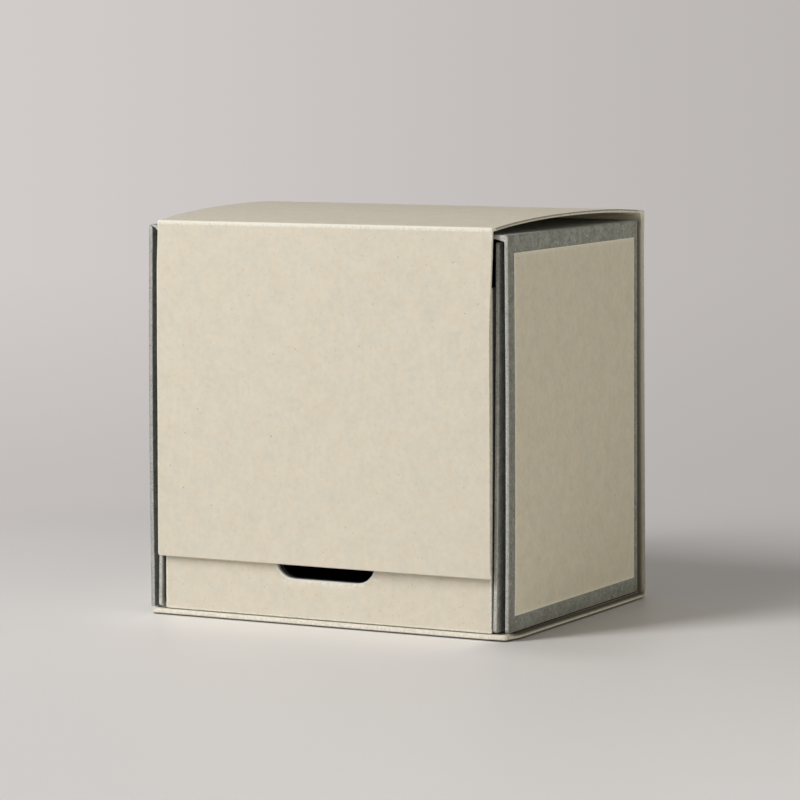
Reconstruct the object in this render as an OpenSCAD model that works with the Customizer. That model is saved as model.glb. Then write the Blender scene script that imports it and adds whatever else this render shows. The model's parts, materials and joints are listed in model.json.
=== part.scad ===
// Sliding drawer gift box: a grey board sleeve with a drawer in it, held in a
// folded cream case whose lid and front flap hinge at their creases.
// Millimetres, +Z up, front towards -Y. The origin is on the table, under the
// middle of the box.

/* [Sleeve] */
// Outside width of the grey sleeve
sleeve_w = 118; // [90:1:200]
// Depth of the sleeve, from its front edges to its back
sleeve_d = 89.5; // [60:0.5:160]
// Height of the sleeve, from the foot of its walls to its top
sleeve_h = 113.2; // [70:0.1:200]
// Thickness of the side walls
wall_t = 1.1; // [0.9:0.1:2.5]
// Thickness of the top board
top_t = 1.4; // [0.9:0.1:3]
// Thickness of the back wall
back_wall_t = 1.4; // [0.8:0.1:3]
// Radius of the long outer corners of the sleeve
sleeve_corner_r = 0.8; // [0.3:0.1:0.9]
// Thickness of the sheet that lines the base under the drawer
floor_sheet_t = 0.35; // [0.2:0.05:1]
// How far the floor sheet stops short of the sleeve's outer faces
floor_sheet_inset = 0.6; // [0.3:0.1:0.8]
// How far the floor sheet stops behind the sleeve's front edges
floor_sheet_setback = 4; // [2:0.5:10]
// Thickness of the gummed tapes that join the boards
tape_t = 0.15; // [0.1:0.05:0.3]
// Width of each leg of a tape
tape_leg = 8; // [4:0.5:15]
// Thickness of the adhesive sheet between the sleeve and the back board
mount_sheet_t = 0.7; // [0.3:0.1:1.5]
// How far the adhesive sheet stops short of the sleeve's outline
mount_sheet_inset = 4; // [2:0.5:15]

/* [Side labels] */
// Thickness of the cream label on each side wall
label_t = 0.2; // [0.1:0.05:0.4]
// Grey border in front of the label
label_front = 3.8; // [2:0.1:10]
// Grey border behind the label
label_back = 3; // [2:0.1:10]
// Grey border above the label
label_top = 5.4; // [2:0.1:15]
// Grey border below the label
label_foot = 4.5; // [2:0.1:15]

/* [Case] */
// Thickness of the base board
base_t = 1.9; // [1.2:0.1:3]
// Thickness of the back board
back_t = 2.4; // [1.5:0.1:3.5]
// Thickness of the card of the lid and the flap
card_t = 0.85; // [0.7:0.05:1.5]
// Thickness of the paper that lines the lid and the flap
card_lining_t = 0.25; // [0.1:0.05:0.4]
// How far the linings stop short of the card's edges
card_lining_inset = 2; // [1:0.5:6]
// How far base and back stand out past the sleeve at each side
side_over = 0.7; // [0.4:0.1:3]
// How far the base stands out in front of the sleeve
front_over = 0.6; // [0.3:0.1:2]
// How far the base board's pinched front corners lie inside the sleeve's sides
base_corner_in = 0.4; // [0:0.1:1]
// Length over which the base board's sides draw in to its front corners
base_corner_run = 9; // [4:0.5:20]
// Size of the bevel on the base board's front corners
base_corner_bevel = 0.5; // [0.3:0.1:0.9]
// Space between the flap and the front edges of the sleeve
flap_gap = 1.35; // [0.8:0.05:3]
// Height of the flap's lower edge above the base board
flap_lift = 16; // [8:0.5:30]
// Radius of the flap's lower corners
flap_corner_r = 0.6; // [0.2:0.1:3]
// Space between the sleeve's top and the lid, at the front crease
lid_gap = 0.3; // [0.2:0.05:2]
// How much higher the lid's rear crease lies than its front crease
lid_slope = 1; // [0:0.1:3]
// How far the lid bows up between its creases
lid_rise = 2.2; // [0.5:0.1:5]
// Slit between the mitred board ends at a crease
crease_gap = 0.15; // [0.1:0.05:0.3]

/* [Magnetic catch] */
// Diameter of each magnet
magnet_d = 10; // [6:0.5:14]
// Thickness of each magnet
magnet_t = 0.6; // [0.4:0.05:0.65]
// Diameter of each steel catch disc
catch_d = 12; // [6:0.5:16]
// Thickness of each catch disc
catch_t = 0.6; // [0.3:0.05:1]
// Distance of a magnet from the middle of the box
magnet_x = 40; // [25:0.5:44]
// Height of the magnets above the flap's lower edge
magnet_lift = 14; // [9:0.5:30]
// Space round a magnet or disc in its pocket
pocket_clear = 0.05; // [0.02:0.01:0.2]

/* [Drawer] */
// Space between the drawer and the sleeve at each side
side_gap = 1.5; // [0.8:0.1:3]
// Space between the drawer's walls and the sleeve's top board
top_gap = 0.9; // [0.5:0.1:3]
// Space between the drawer and the sleeve's back wall
rear_gap = 1; // [0.5:0.1:4]
// Space under the drawer, above the tapes that it runs on
slide_gap = 0.2; // [0.1:0.05:0.6]
// Thickness of the drawer's side walls
drawer_wall_t = 1.15; // [0.8:0.05:2.5]
// Radius of the corners of the drawer's side walls
drawer_corner_r = 0.8; // [0.3:0.1:3]
// Thickness of the drawer's floor and back wall
drawer_board_t = 1.25; // [0.8:0.05:2.5]
// Thickness of the board behind the front panel
front_board_t = 1.6; // [1:0.1:3]
// Thickness of the cream front panel
front_panel_t = 1.6; // [1.2:0.1:3]
// Space between the flap's lining and the front panel
panel_flap_gap = 0.3; // [0.2:0.05:1]
// How far the front panel lies behind the walls' front edges
panel_recess = 0.15; // [0:0.05:1]
// Space between the front panel and each side wall
panel_side_gap = 1.25; // [0.5:0.05:3]
// Space between the front panel and the base board
panel_foot_gap = 0.2; // [0.15:0.05:0.6]
// How far the front stays below the top of the drawer's side walls
front_drop = 12.8; // [12.8:0.1:40]
// Thickness of the drawer's black lining
lining_t = 0.2; // [0.1:0.05:0.4]
// How far the lining stays below the edges of the walls
lining_drop = 1.5; // [0.5:0.1:6]
// Space at each side of the flap where it swings between the linings
flap_side_clear = 0.35; // [0.3:0.05:1]

/* [Finger notch] */
// Width of the notch
notch_w = 32.7; // [20:0.1:40]
// Height of the notch, which has round ends
notch_h = 12; // [8:0.1:18]
// Height of the notch's lower edge above the base board
notch_lift = 11.6; // [8:0.1:40]

/* [Hidden] */
$fn = 64;

// colours of the papers
cream = [0.84, 0.80, 0.72];
cream_inside = [0.80, 0.77, 0.70];
grey = [0.46, 0.46, 0.43];
kraft = [0.70, 0.66, 0.58];
black = [0.05, 0.05, 0.05];
steel = [0.72, 0.73, 0.75];

bow_steps = 24;          // straight steps along the lid's bow
cut = 1;                 // how far a cutting tool reaches past what it cuts

// depths, measured along Y
flap_t = card_t + card_lining_t;
case_d = flap_t + flap_gap + sleeve_d + mount_sheet_t + back_t;
case_back_y = case_d / 2;
crease_y = -case_d / 2;                       // front crease, on the flap's face
sleeve_y0 = crease_y + flap_t + flap_gap;
sleeve_y1 = sleeve_y0 + sleeve_d;
back_wall_y = sleeve_y1 - back_wall_t;
base_y0 = sleeve_y0 - front_over;
sheet_y0 = sleeve_y0 + floor_sheet_setback;

// widths, as distances from the middle
sleeve_x = sleeve_w / 2;
sleeve_in_x = sleeve_x - wall_t;
case_x = sleeve_x + side_over;
drawer_x = sleeve_in_x - side_gap;
drawer_in_x = drawer_x - drawer_wall_t;
lining_in_x = drawer_in_x - lining_t;
flap_x = lining_in_x - flap_side_clear;
panel_x = drawer_in_x - panel_side_gap;

// heights
sleeve_z0 = base_t + floor_sheet_t;
sleeve_z1 = sleeve_z0 + sleeve_h;
ceiling_z = sleeve_z1 - top_t;
crease_z = sleeve_z1 + lid_gap + flap_t;      // front crease, on the lid's face
rear_crease_z = crease_z + lid_slope;
flap_z0 = base_t + flap_lift;
drawer_z0 = sleeve_z0 + tape_t + slide_gap;
drawer_z1 = ceiling_z - top_gap;
drawer_in_z = drawer_z0 + drawer_board_t;
front_z1 = drawer_z1 - front_drop;
panel_z0 = base_t + panel_foot_gap;
notch_z = base_t + notch_lift + notch_h / 2;
magnet_z = flap_z0 + magnet_lift;

// depths inside the drawer
panel_y0 = crease_y + flap_t + panel_flap_gap;
drawer_y0 = panel_y0 - panel_recess;
board_y0 = panel_y0 + front_panel_t;
board_y1 = board_y0 + front_board_t;
drawer_y1 = back_wall_y - rear_gap;
drawer_back_y = drawer_y1 - drawer_board_t;

// Height of the lid's upper face at a depth y: a shallow bow over a sloped chord
function lid_u(y) = (y - crease_y) / case_d;
function lid_z(y) = crease_z + lid_slope * lid_u(y)
    + 4 * lid_rise * lid_u(y) * (1 - lid_u(y));

// Half the lid's width at a depth y: as the flap in front, as the back behind
function lid_x(y) = flap_x + (case_x - flap_x) * lid_u(y);

// A curve a fixed way below the lid's upper face, from y0 to y1
function bow_line(y0, y1, below) =
    [for (i = [0 : bow_steps])
        let (y = y0 + (y1 - y0) * i / bow_steps) [y, lid_z(y) - below]];
function reversed(list) = [for (i = [len(list) - 1 : -1 : 0]) list[i]];

// Straight-sided piece between two corners
module block(low, high) {
    translate(low)
        cube(high - low);
}

// A (y, z) outline drawn out to both sides of the middle
module along_x(half) {
    rotate([90, 0, 90])
        linear_extrude(2 * half, center = true)
            children();
}

// An (x, z) outline drawn out from y0 to y1
module along_y(y0, y1) {
    translate([0, y1, 0])
        rotate([90, 0, 0])
            linear_extrude(y1 - y0)
                children();
}

// A (y, z) outline drawn out from x0 to x1
module board_yz(x0, x1) {
    translate([x0, 0, 0])
        rotate([90, 0, 90])
            linear_extrude(x1 - x0)
                children();
}

// Rectangle with four round corners
module round_rect(low, high, r) {
    for (x = [low.x + r, high.x - r], y = [low.y + r, high.y - r])
        translate([x, y])
            circle(r);
    translate([low.x + r, low.y])
        square([high.x - low.x - 2 * r, high.y - low.y]);
    translate([low.x, low.y + r])
        square([high.x - low.x, high.y - low.y - 2 * r]);
}

// Angle strip in an inside corner: one leg along each board
module tape_section(leg, t) {
    square([leg, t]);
    square([t, leg]);
}

// ---- case ----

// Its sides draw in to the front corners, where the covering paper is folded
module base_board() {
    front_x = sleeve_x - base_corner_in;
    right = [[front_x - base_corner_bevel, base_y0],
        [front_x, base_y0 + base_corner_bevel],
        [case_x, base_y0 + base_corner_run], [case_x, case_back_y]];
    color(cream)
        intersection() {
            along_x(case_x)
                polygon([[base_y0, 0], [case_back_y, 0],
                    [case_back_y - back_t, base_t], [base_y0, base_t]]);
            linear_extrude(base_t)
                polygon(concat(right,
                    reversed([for (p = right) [-p.x, p.y]])));
        }
}

// Its upper end is mitred at the crease, then level under the lid's lining
module back_board() {
    shoulder = flap_t + 2 * crease_gap;
    color(cream)
        along_x(case_x)
            polygon([[case_back_y, 0],
                [case_back_y, rear_crease_z - crease_gap],
                [case_back_y - shoulder, rear_crease_z - crease_gap - shoulder],
                [case_back_y - back_t, rear_crease_z - crease_gap - shoulder],
                [case_back_y - back_t, base_t]]);
}

// Plan of the lid from y0 to y1, a way inside its side edges
module lid_plan(y0, y1, inset) {
    linear_extrude(rear_crease_z + lid_rise + cut)
        polygon([[inset - lid_x(y0), y0], [lid_x(y0) - inset, y0],
            [lid_x(y1) - inset, y1], [inset - lid_x(y1), y1]]);
}

module lid_panel() {
    front = crease_y + crease_gap;
    rear = case_back_y - crease_gap;
    color(cream)
        intersection() {
            along_x(case_x)
                polygon(concat(bow_line(front, rear, 0),
                    reversed(bow_line(front + card_t, rear - card_t, card_t))));
            lid_plan(crease_y, case_back_y, 0);
        }
}

// Its upper face has the same straight steps as the panel's lower face
module lid_lining() {
    front = crease_y + crease_gap + card_t;
    rear = case_back_y - crease_gap - card_t;
    stop = flap_t + card_lining_inset;
    color(cream_inside)
        intersection() {
            along_x(case_x)
                polygon(concat(bow_line(front, rear, card_t),
                    reversed(bow_line(front, rear, card_t + card_lining_t))));
            lid_plan(crease_y + stop, case_back_y - stop, card_lining_inset);
        }
}

// Places what follows at both magnets, with its axis along Y
module at_magnets(y) {
    for (side = [-1, 1])
        translate([side * magnet_x, y, magnet_z])
            rotate([-90, 0, 0])
                children();
}

module front_flap() {
    top = crease_z - crease_gap;
    back = crease_y + card_t;
    color(cream)
        difference() {
            intersection() {
                along_x(flap_x)
                    polygon([[crease_y, flap_z0], [crease_y, top],
                        [back, top - card_t], [back, flap_z0]]);
                along_y(crease_y, back)
                    round_rect([-flap_x, flap_z0],
                        [flap_x, crease_z + cut], flap_corner_r);
            }
            at_magnets(back - magnet_t)
                cylinder(h = magnet_t + cut, d = magnet_d + 2 * pocket_clear);
        }
}

module flap_lining() {
    color(cream_inside)
        along_y(crease_y + card_t, crease_y + flap_t)
            round_rect(
                [-flap_x + card_lining_inset, flap_z0 + card_lining_inset],
                [flap_x - card_lining_inset,
                    crease_z - flap_t - card_lining_inset],
                flap_corner_r);
}

module flap_magnets() {
    color(steel)
        at_magnets(crease_y + card_t - magnet_t)
            cylinder(h = magnet_t, d = magnet_d);
}

module mounting_sheet() {
    color(kraft)
        along_y(sleeve_y1, sleeve_y1 + mount_sheet_t)
            round_rect(
                [-sleeve_x + mount_sheet_inset, sleeve_z0 + mount_sheet_inset],
                [sleeve_x - mount_sheet_inset, sleeve_z1 - mount_sheet_inset],
                mount_sheet_inset / 2);
}

// ---- sleeve ----

module floor_sheet() {
    edge = sleeve_x - floor_sheet_inset;
    color(grey)
        block([-edge, sheet_y0, base_t],
            [edge, sleeve_y1 - floor_sheet_inset, sleeve_z0]);
}

// Outline of the whole sleeve seen from the front, foot corners left square
module sleeve_outline() {
    round_rect([-sleeve_x, sleeve_z0 - cut], [sleeve_x, sleeve_z1],
        sleeve_corner_r);
}

module sleeve_top() {
    color(grey)
        along_y(sleeve_y0, sleeve_y1)
            intersection() {
                sleeve_outline();
                polygon([[-sleeve_x, sleeve_z1], [sleeve_x, sleeve_z1],
                    [sleeve_in_x, ceiling_z], [-sleeve_in_x, ceiling_z]]);
            }
}

// Side wall whose upper end is mitred to the top board; side is -1 or 1
module sleeve_wall(side) {
    color(grey)
        along_y(sleeve_y0, sleeve_y1)
            intersection() {
                sleeve_outline();
                polygon([[side * sleeve_x, sleeve_z0],
                    [side * sleeve_x, sleeve_z1],
                    [side * sleeve_in_x, ceiling_z],
                    [side * sleeve_in_x, sleeve_z0]]);
            }
}

module sleeve_left_wall() {
    sleeve_wall(-1);
}

module sleeve_right_wall() {
    sleeve_wall(1);
}

module sleeve_back_wall() {
    color(grey)
        block([-sleeve_in_x, back_wall_y, sleeve_z0],
            [sleeve_in_x, sleeve_y1, ceiling_z]);
}

// Tape along the foot of a side wall
module foot_tape(side) {
    color(kraft)
        scale([side, 1, 1])
            translate([sleeve_in_x, 0, sleeve_z0])
                mirror([1, 0, 0])
                    along_y(sheet_y0, back_wall_y)
                        tape_section(tape_leg, tape_t);
}

module left_foot_tape() {
    foot_tape(-1);
}

module right_foot_tape() {
    foot_tape(1);
}

// Tape along the foot of the back wall, between the other two
module back_foot_tape() {
    color(kraft)
        translate([0, back_wall_y, sleeve_z0])
            mirror([0, 1, 0])
                along_x(sleeve_in_x - tape_leg)
                    tape_section(tape_leg, tape_t);
}

// Upright tape between a side wall and the back wall
module corner_tape(side) {
    color(kraft)
        scale([side, 1, 1])
            translate([sleeve_in_x, back_wall_y, sleeve_z0 + tape_leg])
                rotate([0, 0, 180])
                    linear_extrude(sleeve_h - top_t - 2 * tape_leg)
                        tape_section(tape_leg, tape_t);
}

module left_corner_tape() {
    corner_tape(-1);
}

module right_corner_tape() {
    corner_tape(1);
}

// Tape between the top board and the back wall
module top_corner_tape() {
    color(kraft)
        translate([0, back_wall_y, ceiling_z])
            mirror([0, 1, 0])
                mirror([0, 0, 1])
                    along_x(sleeve_in_x - tape_leg)
                        tape_section(tape_leg, tape_t);
}

// Cream label on a side wall
module side_label(side) {
    face = side * sleeve_x;
    color(cream)
        board_yz(min(face, face + side * label_t),
            max(face, face + side * label_t))
            translate([sleeve_y0 + label_front, sleeve_z0 + label_foot])
                square([sleeve_d - label_front - label_back,
                    sleeve_h - label_top - label_foot]);
}

module left_label() {
    side_label(-1);
}

module right_label() {
    side_label(1);
}

// ---- drawer ----

module drawer_floor() {
    color(grey)
        block([-drawer_in_x, board_y0, drawer_z0],
            [drawer_in_x, drawer_y1, drawer_in_z]);
}

module drawer_side_wall(side) {
    inner = side * drawer_in_x;
    outer = side * drawer_x;
    color(grey)
        board_yz(min(inner, outer), max(inner, outer))
            round_rect([drawer_y0, drawer_z0], [drawer_y1, drawer_z1],
                drawer_corner_r);
}

module drawer_left_wall() {
    drawer_side_wall(-1);
}

module drawer_right_wall() {
    drawer_side_wall(1);
}

module drawer_back_wall() {
    color(grey)
        block([-drawer_in_x, drawer_back_y, drawer_in_z],
            [drawer_in_x, drawer_y1, drawer_z1]);
}

// Outline of the finger notch, straight between two round ends
module notch_outline() {
    r = notch_h / 2;
    for (side = [-1, 1])
        translate([side * (notch_w / 2 - r), notch_z])
            circle(r);
    translate([-notch_w / 2 + r, notch_z - r])
        square([notch_w - 2 * r, notch_h]);
}

module drawer_front_board() {
    color(grey)
        along_y(board_y0, board_y1)
            difference() {
                translate([-drawer_in_x, drawer_in_z])
                    square([2 * drawer_in_x, front_z1 - drawer_in_z]);
                notch_outline();
            }
}

module drawer_front_panel() {
    color(cream)
        difference() {
            along_y(panel_y0, board_y0)
                difference() {
                    round_rect([-panel_x, panel_z0], [panel_x, front_z1],
                        flap_corner_r);
                    notch_outline();
                }
            at_magnets(board_y0 - catch_t)
                cylinder(h = catch_t + cut, d = catch_d + 2 * pocket_clear);
        }
}

module catch_discs() {
    color(steel)
        at_magnets(board_y0 - catch_t)
            cylinder(h = catch_t, d = catch_d);
}

module floor_lining() {
    color(black)
        block([-drawer_in_x, board_y1, drawer_in_z],
            [drawer_in_x, drawer_back_y, drawer_in_z + lining_t]);
}

// Lining of a side wall, standing on the floor lining
module side_lining(side) {
    inner = side * lining_in_x;
    outer = side * drawer_in_x;
    color(black)
        block([min(inner, outer), board_y1, drawer_in_z + lining_t],
            [max(inner, outer), drawer_back_y, drawer_z1 - lining_drop]);
}

module left_lining() {
    side_lining(-1);
}

module right_lining() {
    side_lining(1);
}

module back_lining() {
    color(black)
        block([-lining_in_x, drawer_back_y - lining_t, drawer_in_z + lining_t],
            [lining_in_x, drawer_back_y, drawer_z1 - lining_drop]);
}

module front_lining() {
    color(black)
        along_y(board_y1, board_y1 + lining_t)
            difference() {
                translate([-lining_in_x, drawer_in_z + lining_t])
                    square([2 * lining_in_x,
                        front_z1 - lining_drop - drawer_in_z - lining_t]);
                notch_outline();
            }
}

base_board();
back_board();
floor_sheet();
mounting_sheet();
sleeve_top();
sleeve_left_wall();
sleeve_right_wall();
sleeve_back_wall();
left_foot_tape();
right_foot_tape();
back_foot_tape();
left_corner_tape();
right_corner_tape();
top_corner_tape();
left_label();
right_label();
lid_panel();
lid_lining();
front_flap();
flap_lining();
flap_magnets();
drawer_floor();
drawer_left_wall();
drawer_right_wall();
drawer_back_wall();
drawer_front_board();
drawer_front_panel();
catch_discs();
floor_lining();
left_lining();
right_lining();
back_lining();
front_lining();
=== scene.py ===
"""Paper-covered drawer gift box: its covered case, grey sleeve and lined drawer."""

import json
import math
from collections import namedtuple

import bmesh
import bpy
from mathutils import Matrix, Vector, noise


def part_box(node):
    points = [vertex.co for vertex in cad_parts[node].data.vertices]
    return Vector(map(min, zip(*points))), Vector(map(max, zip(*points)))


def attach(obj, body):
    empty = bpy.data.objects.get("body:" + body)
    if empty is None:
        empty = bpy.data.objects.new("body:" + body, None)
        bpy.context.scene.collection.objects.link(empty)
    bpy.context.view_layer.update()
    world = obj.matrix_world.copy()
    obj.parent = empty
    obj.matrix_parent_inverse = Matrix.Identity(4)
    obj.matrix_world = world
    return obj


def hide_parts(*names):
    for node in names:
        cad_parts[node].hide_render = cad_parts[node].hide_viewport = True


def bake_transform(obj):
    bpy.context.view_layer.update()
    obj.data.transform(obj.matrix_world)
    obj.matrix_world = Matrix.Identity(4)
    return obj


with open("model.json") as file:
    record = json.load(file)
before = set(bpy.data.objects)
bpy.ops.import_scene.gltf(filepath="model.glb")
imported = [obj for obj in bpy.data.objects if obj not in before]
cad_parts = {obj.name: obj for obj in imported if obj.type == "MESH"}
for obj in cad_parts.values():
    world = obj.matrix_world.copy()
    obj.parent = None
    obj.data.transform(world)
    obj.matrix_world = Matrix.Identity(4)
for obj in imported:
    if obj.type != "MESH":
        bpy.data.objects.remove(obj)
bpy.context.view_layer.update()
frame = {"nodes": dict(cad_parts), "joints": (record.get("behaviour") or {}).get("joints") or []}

MM = 0.001

# -------- camera

YAW, PITCH, ROLL = (math.radians(a) for a in (27.622, 3.003, -0.180))
TARGET = Vector((1.296, 0.0, 118.483)) * MM
CAMERA_DISTANCE = 1.131733
FOCAL_LENGTH, SENSOR_WIDTH = 170.693, 36.0
LENS_SHIFT = (-0.00063, -0.23538)  # keeps the box's upright edges parallel
level_right = Vector((math.cos(YAW), math.sin(YAW), 0.0))
away = Vector((-math.sin(YAW), math.cos(YAW), 0.0))  # level way into the picture
camera = bpy.data.objects.new("camera", bpy.data.cameras.new("camera"))
camera.data.lens, camera.data.sensor_width = FOCAL_LENGTH, SENSOR_WIDTH
camera.data.shift_x, camera.data.shift_y = LENS_SHIFT
camera.data.clip_start, camera.data.clip_end = 0.05, 60.0
camera.matrix_world = (
    Matrix.Translation(TARGET) @ Matrix.Rotation(YAW, 4, "Z")
    @ Matrix.Rotation(math.pi / 2 - PITCH, 4, "X") @ Matrix.Rotation(ROLL, 4, "Z")
    @ Matrix.Translation((0, 0, CAMERA_DISTANCE)))
bpy.context.scene.collection.objects.link(camera)
bpy.context.scene.camera = camera
bpy.context.scene.view_settings.view_transform = "Standard"

# -------- sizes, in millimetres


def span(node):
    """(low, high) corner of a frame node, in millimetres."""
    low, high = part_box(node)
    return low / MM, high / MM


FLAP_LOW, FLAP_HIGH = span("front_flap")
BACK_LOW, BACK_HIGH = span("back_board")
BASE_LOW, BASE_HIGH = span("base_board")
SLEEVE_LOW, SLEEVE_HIGH = span("sleeve_right_wall")
DRAWER_LOW, DRAWER_HIGH = span("drawer_left_wall")
CREASE = {j["name"]: Vector(j["pos_m"]) / MM for j in frame["joints"] if "pos_m" in j}
FRONT_Y, FRONT_Z = CREASE["flap_hinge"].yz
REAR_Y, REAR_Z = CREASE["lid_hinge"].yz

CARD = FLAP_HIGH.y - FLAP_LOW.y  # card of the lid and the flap
CASE_D = REAR_Y - FRONT_Y
CASE_X = BASE_HIGH.x
FLAP_X = FLAP_HIGH.x
BACK_T = BACK_HIGH.y - BACK_LOW.y
BASE_T = BASE_HIGH.z
LID_RISE = 2.2  # bow of the lid
BASE_FRONT_X = 58.6  # half width of the base at its front corners
BASE_RUN = 9.0  # length over which its sides draw in
BASE_LIFT = 0.25  # how far its lower edges are off the floor
BACK_SPREAD = 0.50  # how much wider the back is at its foot


def lid_top(y):
    """Height of the lid's upper face at a depth y."""
    u = (y - FRONT_Y) / CASE_D
    return FRONT_Z + (REAR_Z - FRONT_Z) * u + 4 * LID_RISE * u * (1 - u)


def lid_half(y):
    """Half the lid's width at a depth y."""
    return FLAP_X + (CASE_X - FLAP_X) * (y - FRONT_Y) / CASE_D


def smooth(t):
    """0 below 0, 1 above 1, and a soft rise between."""
    t = min(max(t, 0.0), 1.0)
    return t * t * (3 - 2 * t)


# -------- covered boards

FRAY = 0.22  # how far in from an edge the paper is rubbed
EDGE_TURNS = 4  # steps round each long edge of a wrapped board
NEAR_EDGE = (0.0, 0.3, 0.9, 2.8)  # lines beside a wrapped edge
NEAR_END = (2.6, 1.3)  # rows before a rounded end
NEAR_CUT = (0.8, 1.8, 4.0)  # lines beside the outline of a cut board

# A slot of the part and the material that shows it.
Finish = namedtuple("Finish", "slot material")

# One line across a board: outer and inner point of its section, its reach to both
# sides, how far it is drawn in by a rounded end, its distance from that end, and how
# much its outer face is rubbed.
Row = namedtuple("Row", "out inn lo hi shrink end rub", defaults=(0.0, 1e3, 0.0))


def spread(start, stop, n):
    """n + 1 even steps from start to stop, both included."""
    return [start + (stop - start) * k / n for k in range(n + 1)]


def steps(start, stop, size):
    """Even steps from start to stop, both included, none longer than size."""
    return spread(start, stop, max(1, math.ceil(abs(stop - start) / size - 1e-6)))


def quarter(r, n):
    """A quarter circle in n steps: how far out and how far down each point has come."""
    return [(r * math.sin(a), r * (1 - math.cos(a))) for a in spread(0, math.pi / 2, n)]


def fillet(p, corner, q, r, n):
    """n + 1 points of the arc that rounds a corner between the points p and q."""
    p, corner, q = Vector(p), Vector(corner), Vector(q)
    a, b = (p - corner).normalized(), (q - corner).normalized()
    half = a.angle(b) / 2
    centre = corner + (a + b).normalized() * (r / math.sin(half))
    start = corner + a * (r / math.tan(half)) - centre
    stop = corner + b * (r / math.tan(half)) - centre
    sweep = start.angle(stop)
    return [centre + start * (math.sin(sweep - angle) / math.sin(sweep))
            + stop * (math.sin(angle) / math.sin(sweep)) for angle in spread(0, sweep, n)]


def rounded_end(rows, r, corner=0.0, far_corner=None):
    """Rounds the free last row of a covered board, and its plan corners: corner is
    the radius at the row's lo side, far_corner the one at its hi side."""
    last, before = rows[-1], rows[-2]
    far_corner = corner if far_corner is None else far_corner
    along = (Vector(last.out) - Vector(before.out)).normalized()
    widest = max(corner, far_corner)
    ways = [d for d in NEAR_END if d > max(r, widest)]
    ways += [widest * k / 4 for k in (4, 3, 2, 1) if widest * k / 4 > r]
    ends = [(way, 0.0) for way in ways] + [(r - out, down) for out, down in quarter(r, 4)]

    def inset(radius, way):
        """How far a round plan corner draws the side in, way before the end."""
        return radius - math.sqrt(radius ** 2 - max(radius - way, 0.0) ** 2)
    return rows[:-1] + [
        Row(Vector(last.out) - along * way, Vector(last.inn) - along * way,
            last.lo + inset(corner, way), last.hi - inset(far_corner, way),
            shrink, way, last.rub) for way, shrink in ends]


def both_ends(rows, r, corner=0.0, far_corner=None):
    """Rounds the free first and last rows."""
    rows = rounded_end(rows, r, corner, far_corner)
    return rounded_end(rows[::-1], r, corner, far_corner)[::-1]


def bands(rings):
    """Faces between each closed ring of point numbers and the next."""
    return [(a[k - 1], a[k], b[k], b[k - 1]) for a, b in zip(rings, rings[1:])
            for k in range(len(a))]


def new_piece(name, points, faces, outward, finish, body, nodes, bend=None, marks=None,
              kinds=None, others=()):
    """A mesh object from points in millimetres, turned so that its first face looks
    outward, and then bent. marks are the named values that its materials read at each
    point. kinds gives each face its material, from that of the finish and others."""
    a, b, c = (points[i] for i in faces[0][:3])
    if (b - a).cross(c - b).dot(outward) < 0:
        faces = [f[::-1] for f in faces]
    mesh = bpy.data.meshes.new(name)
    mesh.from_pydata([(bend(p) if bend else p) * MM for p in points], [], faces)
    for material in (finish.material, *others):
        mesh.materials.append(material)
    mesh.polygons.foreach_set("material_index", kinds or [0] * len(faces))
    mesh.polygons.foreach_set("use_smooth", [True] * len(faces))
    for label, values in (marks or {}).items():
        layer = mesh.attributes.new(label, "FLOAT", "POINT")
        layer.data.foreach_set("value", values)
    mesh.validate()
    mesh.update()
    piece = bpy.data.objects.new(name, mesh)
    bpy.context.scene.collection.objects.link(piece)
    if body:
        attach(piece, body)
    if nodes:
        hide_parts(*nodes)
    return piece


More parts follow.
